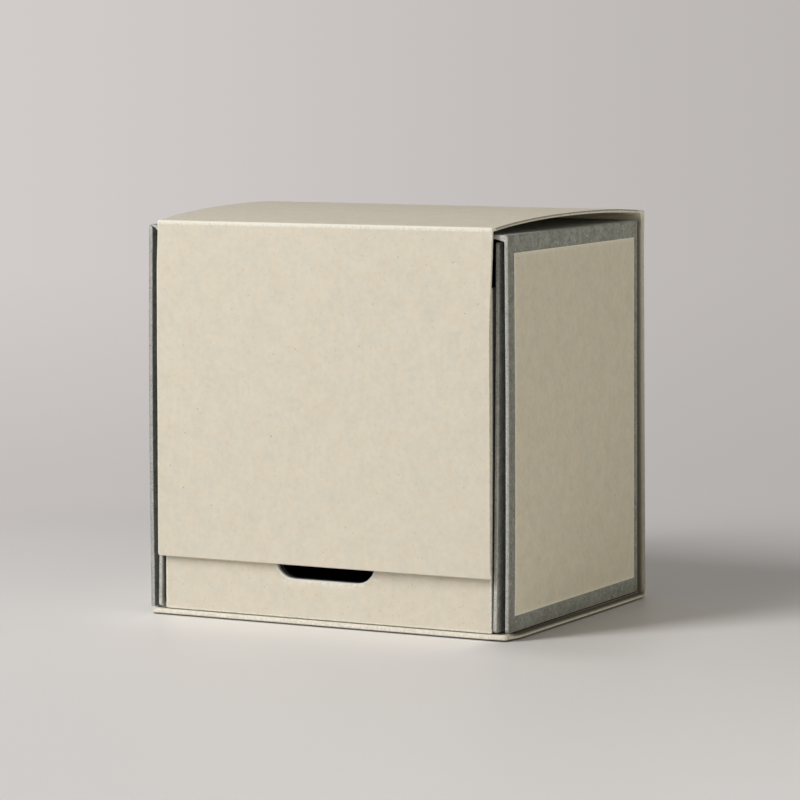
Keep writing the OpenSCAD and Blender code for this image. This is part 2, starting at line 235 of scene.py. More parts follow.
def covered_board(name, rows, across, r, finish, body, nodes=(), bend=None, cell=5.0,
                  ends=("seam", "seam"), stain=None, worn=None):
    """A board along a path of rows, wrapped round its long sides with radius r.

    across(point, side) puts a point of a row's section in space. Its shade function,
    given a point, its edge from the nearer side and its depth from the outer face, tells
    how much painted shade darkens the paper there. Its rub function of a point tells how
    much more than usual its edges are rubbed pale; in places this is a painted highlight,
    and where it is less, painted shade. An end is a seam to the next board or a rounded end.
    """
    m = EDGE_TURNS
    width = max(row.hi - row.lo for row in rows) - 2 * r
    start = NEAR_EDGE[-1] + 2
    cols = [*NEAR_EDGE, *steps(start, width - start, cell)]
    cols += [width - c for c in NEAR_EDGE[::-1]]
    n = len(cols)
    loop = 2 * n + 4 * m
    points, wear, dark = [], [], []
    for row in rows:
        out, inn = Vector(row.out), Vector(row.inn)
        t = (inn - out).length
        into = (inn - out) / t
        rr = max(r - row.shrink, 0.01)
        lo, hi = row.lo + row.shrink + rr, row.hi - row.shrink - rr
        flat = [lo + (hi - lo) * c / width for c in cols]
        top, foot = row.shrink, t - row.shrink
        turn = quarter(rr, m)[1:]
        ring = [(side, top) for side in flat]
        ring += [(hi + o, top + d) for o, d in turn]
        ring += [(hi + o, foot - d) for o, d in turn[::-1]]
        ring += [(side, foot) for side in flat[::-1]]
        ring += [(lo - o, foot - d) for o, d in turn]
        ring += [(lo - o, top + d) for o, d in turn[::-1]]
        for side, depth in ring:
            points.append(Vector(across(out + into * depth, side)))
            edge = min(side - row.lo, row.hi - side)
            rubbed = row.rub if depth < t / 2 else 0.0
            more = 1 + worn(points[-1]) if worn else 1.0
            wear.append(more * max(math.exp(-min(edge, row.end) / FRAY), rubbed))
            dark.append(stain(points[-1], edge, depth) if stain else 0.0)
    rings = [range(at, at + loop) for at in range(0, len(points), loop)]
    faces = bands(rings)
    for ids, style, flip in ((rings[0], ends[0], True), (rings[-1], ends[1], False)):
        if style == "seam":
            for values in (points, wear, dark):
                values += [values[i] for i in ids]
            ids = range(len(points) - loop, len(points))
        inner = ids[n + 2 * m:2 * n + 2 * m][::-1]
        caps = [(ids[j], ids[j + 1], inner[j + 1], inner[j]) for j in range(n - 1)]
        caps += [(*ids[n - 1:n + 2 * m + 1],), (*ids[2 * n + 2 * m - 1:], ids[0])]
        faces += [c[::-1] if flip else c for c in caps]
    outward = Vector(across(rows[0].out, 0)) - Vector(across(rows[0].inn, 0))
    return new_piece(name, points, faces, outward, finish, body, nodes, bend,
                     {"wear": wear, "stain": dark})


def corner_normals(loop):
    """For a closed line, the way out at each point, long enough for a mitred offset."""
    ways = []
    for i, p in enumerate(loop):
        a = Vector(p) - Vector(loop[i - 1])
        b = Vector(loop[(i + 1) % len(loop)]) - Vector(p)
        na, nb = Vector((a.y, -a.x)).normalized(), Vector((b.y, -b.x)).normalized()
        both = (na + nb).normalized()
        ways.append(both / max(0.3, both.dot(na)))
    return ways


def cut_sheet(outline, hole, radii, cell):
    """Plan of a flat board with a hole, drawn in by the radii of its edges and divided
    into a grid: its points, its faces and the points of each border in turn."""
    bm = bmesh.new()
    edges = []
    for loop, r in zip((outline, hole), radii):
        verts = [bm.verts.new((*(Vector(p) - way * r), 0.0))
                 for p, way in zip(loop, corner_normals(loop))]
        edges += [bm.edges.new((verts[i - 1], verts[i])) for i in range(len(verts))]
    bmesh.ops.triangle_fill(bm, edges=edges, use_beauty=True)
    grid = []
    for axis in (0, 1):
        values = [p[axis] for p in outline]
        lo, hi = min(values), max(values)
        first, second, third = NEAR_CUT
        lines = [lo + first, lo + second, *steps(lo + third, hi - third, cell),
                 hi - second, hi - first]
        grid += [(axis, line) for line in lines]
        normal = Vector((1 - axis, axis, 0))
        for line in lines:
            geom = bm.verts[:] + bm.edges[:] + bm.faces[:]
            bmesh.ops.bisect_plane(bm, geom=geom, dist=1e-5, plane_co=normal * line,
                                   plane_no=normal)

    def on_grid(edge):
        return any(all(abs(v.co[axis] - line) < 1e-4 for v in edge.verts)
                   for axis, line in grid)
    loose = [e for e in bm.edges if len(e.link_faces) == 2 and not on_grid(e)]
    bmesh.ops.dissolve_edges(bm, edges=loose, use_verts=False, use_face_split=False)
    bm.verts.ensure_lookup_table()
    bm.verts.index_update()
    flat = [v.co.to_2d() for v in bm.verts]
    for f in bm.faces:
        if f.normal.z < 0:
            f.normal_flip()
    plan = [[v.index for v in f.verts] for f in bm.faces]
    following = {corner.vert.index: corner.link_loop_next.vert.index for f in bm.faces
                 for corner in f.loops if len(corner.edge.link_faces) == 1}
    bm.free()
    borders = []
    while following:
        border, at = [], next(iter(following))
        while at in following:
            border.append(at)
            at = following.pop(at)
        borders.append(border)
    borders.sort(key=lambda ids: -max(flat[i].x for i in ids))
    return flat, plan, borders


def cut_board(name, outline, hole, depth, place, radii, finish, body, nodes, bend, stain,
              others=(), kinds=(0, 0, 0, 0), cell=5.0):
    """A flat board with a hole. Its outline runs counterclockwise and the hole
    clockwise. place(u, v, w) puts a point in space, w counted from the front face.
    kinds are the materials of its front, outer edge, back and hole. Its shade function
    of (u, v, w) tells how much painted shade darkens the paper at a point."""
    flat, plan, borders = cut_sheet(outline, hole, radii, cell)
    front, edge, rear, rim = kinds
    count = len(flat)
    spots = [(p.x, p.y, 0.0) for p in flat] + [(p.x, p.y, depth) for p in flat]
    faces = [f[::-1] for f in plan] + [[i + count for i in f] for f in plan]
    kinds = [front] * len(plan) + [rear] * len(plan)
    wear = [math.exp(-min((p - flat[i]).length for ids in borders for i in ids) / FRAY)
            for p in flat] * 2
    for loop, r, kind in zip(borders, radii, (edge, rim)):
        ways = corner_normals([flat[i] for i in loop])
        turn = quarter(r, 3)[1:]
        rings = [loop]
        for out, w in turn + [(out, depth - w) for out, w in turn[::-1]]:
            rings.append(range(len(spots), len(spots) + len(loop)))
            spots += [(*(flat[i] + way * out), w) for i, way in zip(loop, ways)]
            wear += [1.0] * len(loop)
        made = bands([*rings, [i + count for i in loop]])
        faces += made
        kinds += [kind] * len(made)
    outward = Vector(place(0, 0, 0)) - Vector(place(0, 0, 1))
    return new_piece(name, [Vector(place(*p)) for p in spots], faces, outward, finish,
                     body, nodes, bend, {"wear": wear, "stain": [stain(*p) for p in spots]},
                     kinds, others)


def flat_board(name, low, high, axis, r, finish, body, nodes, corner=0.0, cell=6.0,
               **more):
    """A rectangular board between two corners, thin along axis (0 for x, 1 for y,
    2 for z); its outer face is the one at low. It is wrapped on all four edges."""
    low, high = Vector(low), Vector(high)
    run, wide = {0: (2, 1), 1: (2, 0), 2: (1, 0)}[axis]

    def across(p, side):
        spot = Vector((0, 0, 0))
        spot[axis], spot[run], spot[wide] = p[0], p[1], side
        return spot
    rows = [Row((low[axis], s), (high[axis], s), low[wide], high[wide])
            for s in steps(low[run], high[run], cell)]
    return covered_board(name, both_ends(rows, r, corner), across, r, finish, body, nodes,
                         cell=cell, ends=("end", "end"), **more)


# -------- materials


class Nodes:
    """Short way to write a node tree: each call makes a node and links its inputs."""

    def __init__(self, tree):
        self.tree = tree
        tree.nodes.clear()

    def __call__(self, kind, *settings, **inputs):
        made = self.tree.nodes.new(kind)
        for key, value in settings:
            setattr(made, key, value)
        for key, value in inputs.items():
            name = int(key[1:]) if key[1:].isdigit() else key.replace("_", " ")
            if isinstance(value, bpy.types.NodeSocket):
                self.tree.links.new(value, made.inputs[name])
            else:
                made.inputs[name].default_value = value
        return made

    def math(self, operation, a, b=0.0, c=0.0, clamp=False):
        return self("ShaderNodeMath", ("operation", operation), ("use_clamp", clamp),
                    i0=a, i1=b, i2=c).outputs[0]

    def fused(self, a, b, c):
        """a times b, plus c."""
        return self.math("MULTIPLY_ADD", a, b, c)

    def times(self, first, *others):
        """The product of several values."""
        for other in others:
            first = self.math("MULTIPLY", first, other)
        return first

    def vector(self, operation, a, b=(0, 0, 0), c=(0, 0, 0)):
        return self("ShaderNodeVectorMath", ("operation", operation), i0=a, i1=b,
                    i2=c).outputs[0]

    def length(self, operation, a, b=(0, 0, 0)):
        """The number that a dot product, a length or a distance gives."""
        return self("ShaderNodeVectorMath", ("operation", operation), i0=a,
                    i1=b).outputs["Value"]

    def scaled(self, vector, factor):
        return self("ShaderNodeVectorMath", ("operation", "SCALE"), i0=vector,
                    Scale=factor).outputs[0]

    def mix(self, share, *colours):
        a, b = ((*c, 1) if isinstance(c, tuple) else c for c in colours)
        return self("ShaderNodeMix", ("data_type", "RGBA"), i0=share, i6=a,
                    i7=b).outputs[2]

    def ramp(self, value, low, high, to_low=0.0, to_high=1.0, kind="SMOOTHSTEP"):
        """A clamped ramp of a value, soft at its ends unless its kind is LINEAR."""
        return self("ShaderNodeMapRange", ("interpolation_type", kind), Value=value,
                    From_Min=low, From_Max=high, To_Min=to_low,
                    To_Max=to_high).outputs[0]

    def noise(self, place, scale, detail, rough=0.5):
        return self("ShaderNodeTexNoise", Vector=place, Scale=scale, Detail=detail,
                    Roughness=rough)

    def split(self, colour):
        return self("ShaderNodeSeparateColor", Color=colour).outputs

    def show(self, shader, kind="Material"):
        """Ends the tree with a shader."""
        self("ShaderNodeOutput" + kind, Surface=shader.outputs[0])


def new_group(build, outputs, **inputs):
    """A node group over a place in mm. inputs gives its other sockets' first values,
    and build(n, i) makes its nodes and returns the values that it puts out."""
    tree = bpy.data.node_groups.new(build.__name__, "ShaderNodeTree")
    n = Nodes(tree)
    for label, value in {"Vector": (0, 0, 0), **inputs}.items():
        kind = "NodeSocketVector" if isinstance(value, tuple) else "NodeSocketFloat"
        made = tree.interface.new_socket(label.replace("_", " "), in_out="INPUT",
                                         socket_type=kind)
        made.default_value = value
    for label in outputs:
        tree.interface.new_socket(label, in_out="OUTPUT", socket_type="NodeSocketFloat")
    values = build(n, tree.nodes.new("NodeGroupInput").outputs)
    n("NodeGroupOutput", **dict(zip(outputs, values)))
    return tree


def pulp_marks(n, i):
    """Stray pulp, one mark to a random cell of a warped space: round specks, or hairs
    where the space is stretched. A mark is Least, or up to Spread more, times Size."""
    warp = n.noise(i["Vector"], i["Warp Scale"], 2.0).outputs[1]
    spot = n.vector("MULTIPLY_ADD", warp, i["Warp"], i["Vector"])
    per_mm = n.math("DIVIDE", 1.0, i["Cell"])
    cells = n("ShaderNodeTexVoronoi", Vector=n.vector("MULTIPLY", spot, i["Stretch"]),
              Scale=per_mm, Randomness=1.0).outputs
    chance = n.split(cells["Color"])
    size = n.fused(chance[1], i["Spread"], i["Least"])
    part = n.math("DIVIDE", cells["Distance"], n.times(i["Size"], per_mm, size))
    mark = n.ramp(n.math("SUBTRACT", 1.0, part, clamp=True), 0.0, i["Soft"])
    return [n.times(mark, n.math("LESS_THAN", chance[0], i["Share"]))]


def pulp_clouds(n, i):
    """Uneven pulp: soft clouds of two sizes, from -1 to 1, in tone and in hue."""
    parts = []
    for size, detail in ((i["Large"], 3.0), (i["Small"], 2.0)):
        made = n.noise(i["Vector"], n.math("DIVIDE", 1.0, size), detail, 0.6)
        parts.append(n.split(made.outputs["Color"]))
    rest = n.math("SUBTRACT", 1.0, i["Small Share"])
    values = []
    for channel in (0, 1):
        large, small = (n.times(n.math("SUBTRACT", part[channel], 0.5), 4.0)
                        for part in parts)
        values.append(n.math("ADD", n.times(large, rest), n.times(small, i["Small Share"])))
    return values


def paper_grain(n, i):
    """Height of the paper's surface: fine grain and soft waves, in mm."""
    fine = n.noise(i["Vector"], n.math("DIVIDE", 1.0, i["Grain"]), 3.0, 0.65).outputs[0]
    wave = n.noise(i["Vector"], 0.12, 1.0).outputs[0]
    return [n.math("ADD", n.times(fine, i["Depth"]), n.times(wave, i["Wave Depth"]))]


def edge_rub(n, i):
    """Where a wrapped edge is rubbed pale, in places a painted highlight: the mesh's value
    for it, broken up by noise.
    """
    patch = n.noise(i["Vector"], n.math("DIVIDE", 1.0, i["Patch"]), 4.0, 0.7).outputs[0]
    broken = n.fused(n.ramp(patch, 0.40, 0.62), 0.75, 0.25)
    return [n.math("MULTIPLY", n.times(i["Wear"], broken), i["Amount"], clamp=True)]


MARKS = new_group(pulp_marks, ["Mask"], Cell=3.0, Size=0.2, Share=0.5, Stretch=(1, 1, 1),
                  Warp=0.5, Warp_Scale=1.7, Soft=0.5, Least=0.85, Spread=0.8)
CLOUDS = new_group(pulp_clouds, ["Tone", "Hue"], Large=12.0, Small=1.2, Small_Share=0.5)
GRAIN = new_group(paper_grain, ["Height"], Grain=0.25, Depth=0.01, Wave_Depth=0.02)
RUB = new_group(edge_rub, ["Mask"], Wear=0.0, Patch=0.8, Amount=0.5)

# What turns the round specks of MARKS into hairs.
HAIR = {"Warp": 5.0, "Warp_Scale": 0.35, "Soft": 0.6, "Least": 1.0, "Spread": 0.0}
PAINTED_SHADE_TONE = (0.066, 0.058, 0.044)  # painted shade in gaps, hollows and cut edges turned from the light


def new_material(name):
    """An empty material: itself, its Nodes and its place in the object."""
    material = bpy.data.materials.new(name)
    material.use_nodes = True
    n = Nodes(material.node_tree)
    return material, n, n("ShaderNodeTexCoord").outputs["Object"]


def paper(name, base, rough=0.85, clouds=0.03, cloud_sizes=(12.0, 1.2), warm=0.0,
          specks=(), fibres=(), rub=None, grain=0.25, depth=0.01, wave=0.02, gloss=0.3):
    """An uncoated paper. specks and fibres are (colour, strength, cell, size, share),
    fibres with a stretch as well; rub is (colour, amount, patch) for rubbed edges."""
    material, n, place = new_material(name)
    spot = n.scaled(place, 1 / MM)

    def use(group, **inputs):
        return n("ShaderNodeGroup", ("node_tree", group), Vector=spot,
                 **inputs).outputs

    def point_value(label):
        return n("ShaderNodeAttribute", ("attribute_name", label)).outputs["Fac"]
    cloud = use(CLOUDS, Large=cloud_sizes[0], Small=cloud_sizes[1])
    tone, hue = (n.fused(cloud[key], 0.5, 0.5) for key in ("Tone", "Hue"))
    pairs = [[tuple(c * (1 + clouds * light) * (1 + tint * warm * k)
                    for c, k in zip(base, (1, 0, -1))) for light in (-1, 1)]
             for tint in (-1, 1)]
    colour = n.mix(hue, *(n.mix(tone, *pair) for pair in pairs))
    for tint, strength, cell, size, share, *stretch in (*specks, *fibres):
        more = {"Stretch": stretch[0], **HAIR} if stretch else {}
        mask = use(MARKS, Cell=cell, Size=size, Share=share, **more)[0]
        colour = n.mix(n.times(mask, strength), colour, tint)
    # Pale rubbed edges: mostly rubbing; the flap's left rim and the front fold add a painted
    # highlight, and the right drawer wall's smaller rub is painted shade.
    if rub:
        tint, amount, patch = rub
        mask = use(RUB, Wear=point_value("wear"), Patch=patch, Amount=amount)[0]
        colour = n.mix(mask, colour, tint)
    # painted shade: the mesh's shade value darkens the paper towards a dark tone
    colour = n.mix(point_value("stain"), colour, PAINTED_SHADE_TONE)
    height = use(GRAIN, Grain=grain, Depth=depth, Wave_Depth=wave)[0]
    bump = n("ShaderNodeBump", Height=height, Strength=1.0, Distance=MM)
    n.show(n("ShaderNodeBsdfPrincipled", Base_Color=colour, Roughness=rough,
             Specular_IOR_Level=gloss, Normal=bump.outputs[0]))
    return material


def metal(name, base, rough, scratches):
    """A thin disc's metal with fine scratches."""
    material, n, place = new_material(name)
    scratch = n.noise(n.vector("MULTIPLY", place, scratches), 1.0, 4.0).outputs[0]
    colour = n.mix(n.ramp(scratch, 0.3, 0.7), tuple(c * 0.85 for c in base), base)
    bump = n("ShaderNodeBump", Height=scratch, Distance=0.02 * MM)
    n.show(n("ShaderNodeBsdfPrincipled", Base_Color=colour, Metallic=1.0,
             Roughness=n.ramp(scratch, 0.3, 0.7, rough, rough + 0.15),
             Normal=bump.outputs[0]))
    return material


CREAM = (0.700, 0.648, 0.540)
PALE_PULP = (0.88, 0.86, 0.79)
FOLD_RUB_AND_HIGHLIGHT = (0.844, 0.809, 0.724)  # rubbed paper along the front fold, partly a painted highlight on the crease
BROWN_PULP = (0.20, 0.16, 0.11)

UPRIGHT, LEVEL, SLANTED = (1.0, 1.0, 0.12), (0.12, 1.0, 1.0), (0.7, 0.14, 0.5)
CREAM_SPECKS = [(BROWN_PULP, 0.40, 4.2, 0.22, 0.42), (PALE_PULP, 0.45, 2.4, 0.20, 0.40),
                (BROWN_PULP, 0.16, 1.5, 0.26, 0.45)]
CREAM_FIBRES = [(PALE_PULP, 0.26, 1.1, 0.11, 0.30, UPRIGHT),
                (BROWN_PULP, 0.16, 1.3, 0.10, 0.24, SLANTED),
                (PALE_PULP, 0.30, 1.5, 0.11, 0.20, LEVEL)]
LABEL_FIBRE = (BROWN_PULP, 0.35, 9.0, 0.22, 0.12, (0.6, 1.0, 0.35))


def cream_paper(name, rub, clouds=0.072, fibres=()):
    """The case's uncoated recycled paper."""
    return paper(name, CREAM, clouds=clouds, warm=0.045, cloud_sizes=(5.0, 1.6),
                 specks=CREAM_SPECKS, fibres=[*CREAM_FIBRES, *fibres], rub=rub, wave=0.03)


cream_board = Finish("cream_board", cream_paper("cream_recycled_paper",
                                                (PALE_PULP, 0.85, 0.9)))
cream_fold = Finish("cream_board", cream_paper("cream_folded_paper",
                                               (FOLD_RUB_AND_HIGHLIGHT, 0.85, 0.9)))
cream_label = Finish("cream_label", cream_paper(
    "cream_label_paper", (PALE_PULP, 0.95, 0.5), clouds=0.10, fibres=[LABEL_FIBRE]))
cream_lining = Finish("cream_lining", paper(
    "cream_lining_paper", (0.66, 0.615, 0.51), rough=0.8, specks=CREAM_SPECKS[:2],
    fibres=CREAM_FIBRES[:1], rub=(PALE_PULP, 0.3, 0.6), depth=0.008, wave=0.04))
grey_board = Finish("grey_board", paper(
    "grey_fibrous_paper", (0.298, 0.305, 0.284), rough=0.9, clouds=0.52, warm=0.03,
    cloud_sizes=(2.6, 0.8),
    specks=[((0.10, 0.10, 0.09), 0.75, 1.1, 0.24, 0.45),
            ((0.72, 0.72, 0.68), 0.70, 1.6, 0.22, 0.42)],
    fibres=[((0.62, 0.62, 0.58), 0.65, 0.8, 0.11, 0.34, UPRIGHT),
            ((0.09, 0.09, 0.08), 0.65, 0.9, 0.11, 0.34, SLANTED)],
    rub=((0.64, 0.64, 0.61), 0.9, 0.35), grain=0.3, depth=0.025))
black_lining = Finish("black_lining", paper(
    "black_lining_paper", (0.018, 0.018, 0.019), rough=0.8, clouds=0.15,
    specks=[((0.07, 0.07, 0.07), 0.5, 1.6, 0.16, 0.4)],
    fibres=[((0.06, 0.06, 0.06), 0.5, 1.0, 0.1, 0.3, UPRIGHT)],
    rub=((0.10, 0.10, 0.10), 0.6, 0.6), depth=0.02, gloss=0.35))
nickel = Finish("magnet", metal("nickel_plating", (0.66, 0.64, 0.60), 0.22,
                                (900, 900, 900)))
pale_core = paper("cut_board_core", (0.80, 0.81, 0.79), rough=0.95, clouds=0.08,
                  cloud_sizes=(2.0, 0.5), grain=0.2, depth=0.05,
                  specks=[(BROWN_PULP, 0.45, 0.8, 0.14, 0.4),
                          (PALE_PULP, 0.5, 0.6, 0.14, 0.4)])
# The tape's dark brown is partly its own colour, partly painted shade in the gap under the
# sleeve's walls.
kraft_tape = paper("gummed_kraft_tape", BROWN_PULP, rough=0.7, clouds=0.06,
                   fibres=[(BROWN_PULP, 0.5, 1.0, 0.1, 0.4, UPRIGHT)], depth=0.02)
adhesive_sheet = paper("adhesive_sheet", (0.55, 0.52, 0.45), rough=0.45, clouds=0.05,
                       cloud_sizes=(6.0, 0.8), depth=0.02, gloss=0.5)
plain_steel = metal("plain_steel", (0.56, 0.57, 0.58), 0.35, (4000, 4000, 300))

# -------- case


def in_yz(p, side):
    """A point (y, z) of a section, put at side along x."""
    return (side, p[0], p[1])


def in_xz(p, side):
    """A point (x, z) of a section, put at side along y."""
    return (p[0], side, p[1])


EDGE_R = 0.25  # rounding of a wrapped card edge
FOLD = 3.0  # how far a fold reaches past its crease
PINCH = 0.10  # how far the sides draw in at the crease
BELLY, WAVE = 0.10, 0.12  # the flap's bow and its soft waves
CORNER_FLARE, SIDE_FLARE = 0.45, 0.55  # how far its right side stands out
FLAP_SHIFT = 0.38  # how far it hangs to the left
FOOT_BOW, FOOT_RISE = 0.85, 0.35  # its foot's bow, and its right corner's
RIDGE, RIDGE_TILT = 0.43, 0.003  # height of the fold's ridge, and its slope
LID_WAVE = 0.25


def case_bend(p):
    """Small unevenness of the covered card: the flap's belly, its bowed foot and its
    right side that stands out, soft waves in flap and lid, and the raised fold."""
    front = smooth((-40 - p.y) / 4)
    face = smooth((-44 - p.y) / 2)
    height = min(max((p.z - FLAP_LOW.z) / (FLAP_HIGH.z - FLAP_LOW.z), 0), 1)
    belly = BELLY * (1 - (p.x / FLAP_X) ** 2) * math.sin(math.pi * height)
    wave = WAVE * noise.noise(Vector((p.x * 0.03, p.z * 0.04, 3.1)))
    q = p.copy()
    q.y -= smooth((FRONT_Z - 4 - p.z) / 30) * front * (belly + wave)
    corner = smooth(1 - (p.z - FLAP_LOW.z) / 2.2)
    flare = CORNER_FLARE * corner + SIDE_FLARE * smooth((p.z - 88) / 18)
    q.x += smooth((p.x - FLAP_X + 5) / 5) * face * flare
    q.x -= FLAP_SHIFT * face * smooth((FRONT_Z - 3 - p.z) / 12)
    bow = FOOT_BOW * math.exp(-((p.x - 14) / 26) ** 2)
    bow += FOOT_RISE * smooth((p.x - 25) / 20)
    q += Vector((0.5, -1.0, 0.13)) * (smooth((60 - p.z) / 45) * front * bow)
    lid_share = smooth((p.z - 115) / 2) * smooth((p.y + 44) / 10) * smooth((42 - p.y) / 10)
    q.z += LID_WAVE * lid_share * noise.noise(Vector((p.x * 0.03, p.y * 0.03, 7.7)))
    ridge = smooth(1 - math.hypot(p.y - FRONT_Y, p.z - FRONT_Z) / FOLD)
    q.z += ridge * (RIDGE + RIDGE_TILT * p.x)
    return q


def flap_worn(p):
    """The flap's left side is rubbed paler than its other ones, partly a painted highlight
    along its rim; its foot hardly.
    """
    return smooth((-53.5 - p.x) / 0.8) - 0.9 * smooth((FLAP_LOW.z + 0.8 - p.z) / 0.5)


def flap_half(z):
    """Half the flap's width at a height z: it widens a little downwards."""
    return FLAP_X - PINCH + 0.12 * (FRONT_Z - z) / (FRONT_Z - FLAP_LOW.z)


def lid_stain(p, edge, depth):
    """Painted shade on the upper half of the lid's cut sides."""
    return 0.62 * smooth((0.45 - edge) / 0.25) * smooth((0.62 - depth) / 0.3)


def flap_stain(p, edge, depth):
    """Painted shade on the flap's right side, which is in its own shade."""
    return 0.16 * smooth((p.x - 53) / 0.8) * smooth((0.2 - edge) / 0.1)


flap_rows = [Row((FRONT_Y, z), (FRONT_Y + CARD, z), -flap_half(z), flap_half(z))
             for z in steps(FRONT_Z - FOLD, FLAP_LOW.z, 4.5)]
covered_board("front_flap_card", rounded_end(flap_rows, 0.2, corner=0.7), in_yz, EDGE_R,
              cream_board, "flap", ["front_flap"], case_bend, ends=("seam", "end"),
              worn=flap_worn, stain=flap_stain)

lid_rows = [Row((y, lid_top(y)), (y, lid_top(y) - CARD), -lid_half(y), lid_half(y))
            for y in steps(FRONT_Y + FOLD, REAR_Y - BACK_T - FOLD, 3.0)]
covered_board("lid_card", lid_rows, in_yz, EDGE_R, cream_board, "lid", ["lid_panel"],
              case_bend, stain=lid_stain)


def fold(name, outer, inner, half, crease, rub_reach, finish, bodies, ends, **more):
    """The covered card that bends at a crease, from matching outer and inner points.
    It is rubbed outside within reach of the crease. ends, the two places from the
    crease between which it was to turn from one body's pose to the other's, is not used."""
    rows = [Row(o, i, -half(o), half(o),
                rub=smooth(1.6 - (o - crease).length / rub_reach))
            for o, i in zip(outer, inner)]
    piece = covered_board(name, rows, in_yz, EDGE_R, finish, None, **more)
    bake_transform(piece)


def lid_line(drop, *depths):
    """Points of the lid's section at these depths, drop below its upper face."""
    return [Vector((y, lid_top(y) - drop)) for y in depths]


def front_half(p):
    """Half the front fold's width at a point of its section: that of the flap, and on
    the lid that of the lid, drawn in at the crease."""
    if p[0] < FRONT_Y + 1e-6:
        return flap_half(p[1])
    return lid_half(p[0]) - PINCH * (1 - smooth((p[0] - FRONT_Y) / FOLD))


front_in_y = FRONT_Y + CARD
fold_end = FRONT_Y + FOLD
front_outer = [Vector((FRONT_Y, FRONT_Z - k)) for k in (FOLD, 1.9, 1.3)]
front_outer += fillet((FRONT_Y, FRONT_Z - FOLD), (FRONT_Y, FRONT_Z),
                      *lid_line(0, fold_end), 0.72, 8)
front_outer += lid_line(0, FRONT_Y + 1.3, FRONT_Y + 1.9, fold_end)
front_inner = [Vector((front_in_y, FRONT_Z - k)) for k in (FOLD, 2.6, 2.4)]
front_inner += fillet((front_in_y, FRONT_Z - FOLD), *lid_line(CARD, front_in_y, fold_end),
                      1.1, 8)
front_inner += lid_line(CARD, FRONT_Y + 2.4, FRONT_Y + 2.6, fold_end)
# The front fold's strong pale rub is partly a painted highlight along the crease.
fold("flap_fold_paper", front_outer, front_inner, front_half, Vector((FRONT_Y, FRONT_Z)),
     0.62, cream_fold, ("flap", "lid"), ((-0.35, -0.35), (0.35, 0.35)), bend=case_bend,
     worn=lambda p: 2.6)


def back_stain(p, edge, depth):
    """Painted shade on the back board's cut sides, deeper on the rim beside the sleeve
    and towards the base."""
    low = 1 - p.z / 117
    rear, front = 0.12 + 0.45 * low, 0.42 + 0.25 * low
    side = (rear + (front - rear) * depth / BACK_T) * smooth((2.4 - edge) / 0.6)
    rim = smooth((depth - 1.9) / 0.4) * smooth((edge - 0.2) / 1.3)
    return side + (0.85 - side) * rim * smooth((3.5 - edge) / 1.5)


def rear_stain(p, edge, depth):
    """Painted shade on the rear fold: like the lid's sides in front, the back's below."""
    if p.z > REAR_Z - 1.2:
        return lid_stain(p, edge, depth) * smooth((REAR_Y - 2.5 - p.y) / 2)
    return back_stain(p, edge, depth) * smooth((REAR_Z - 1.2 - p.z) / 2)


rear_reach = BACK_T + FOLD
rear_in_y = REAR_Y - BACK_T
rear_outer = lid_line(0, REAR_Y - rear_reach, REAR_Y - 3.0, REAR_Y - 1.5)
rear_outer += fillet(rear_outer[-1], (REAR_Y, REAR_Z), (REAR_Y, REAR_Z - 3), 0.6, 8)
rear_outer += [Vector((REAR_Y, REAR_Z - k)) for k in (2.4, rear_reach)]
rear_inner = lid_line(CARD, REAR_Y - rear_reach, REAR_Y - 4.9, REAR_Y - 4.0)
rear_corner, = lid_line(CARD, rear_in_y)
rear_inner += fillet(rear_inner[-1], rear_corner, rear_corner - Vector((0, 4)), 1.2, 8)
rear_inner += [Vector((rear_in_y, REAR_Z - k)) for k in (3.6, rear_reach)]
fold("lid_fold_paper", rear_outer, rear_inner, lambda p: lid_half(min(p[0], REAR_Y)),
     Vector((REAR_Y, REAR_Z)), 0.9, cream_board, ("lid", "root"),
     ((-0.9, 0.9), (0.9, -0.9)), stain=rear_stain)


def back_half(z):
    """Half the back board's width at a height z: it widens a little downwards."""
    return CASE_X + BACK_SPREAD * min(max(1 - z / 105, 0.0), 1.0)


def base_half(y):
    """Half the base board's width at a depth y: pinched at the front corners, and as
    wide as the back board behind."""
    t = smooth((y - BASE_LOW.y) / BASE_RUN)
    behind = BACK_SPREAD * smooth((y - BASE_LOW.y - BASE_RUN) / 60)
    return BASE_FRONT_X + (CASE_X - BASE_FRONT_X) * t + behind


def case_stain(p, edge, depth):
    """Painted shade on the back board's sides, on the base's lower rim by the floor, and on
    the base's sides under the sleeve.
    """
    if p.y > rear_in_y - 0.5 and p.z > BASE_T:
        return back_stain(p, edge, depth)
    side = smooth((1.5 - edge) / 0.5) * smooth((p.y - BASE_LOW.y - 1) / 4)
    rim = 0.75 * smooth((0.45 - p.z) / 0.3)
    return max(rim, side * (0.06 + 0.91 * smooth((p.z - 0.7) / 0.6)))


LEFT_PULL, RIGHT_PULL = 0.7, 0.4  # how far its front corners are pulled in
RIGHT_LIFT = 0.12  # how much higher its right side lies


def base_bend(p):
    """The base's lower edges are lifted a little, the right side lies higher, and the
    front corners are pulled in."""
    q = p.copy()
    if p.z < BASE_T + 0.01:
        rim = min(p.y - BASE_LOW.y, CASE_X - abs(p.x), REAR_Y - p.y)
        q.z += BASE_LIFT * smooth(1 - rim / 4) * (1 - p.z / BASE_T)
        q.z += RIGHT_LIFT * smooth((p.x - 50) / 8)
        front = smooth(1 - (p.y - BASE_LOW.y) / 8)
        if p.x < -50:
            q.x += LEFT_PULL * front * smooth((p.z - 0.4) / 1.5)
        if p.x > 50:
            q.x -= RIGHT_PULL * front
    return q


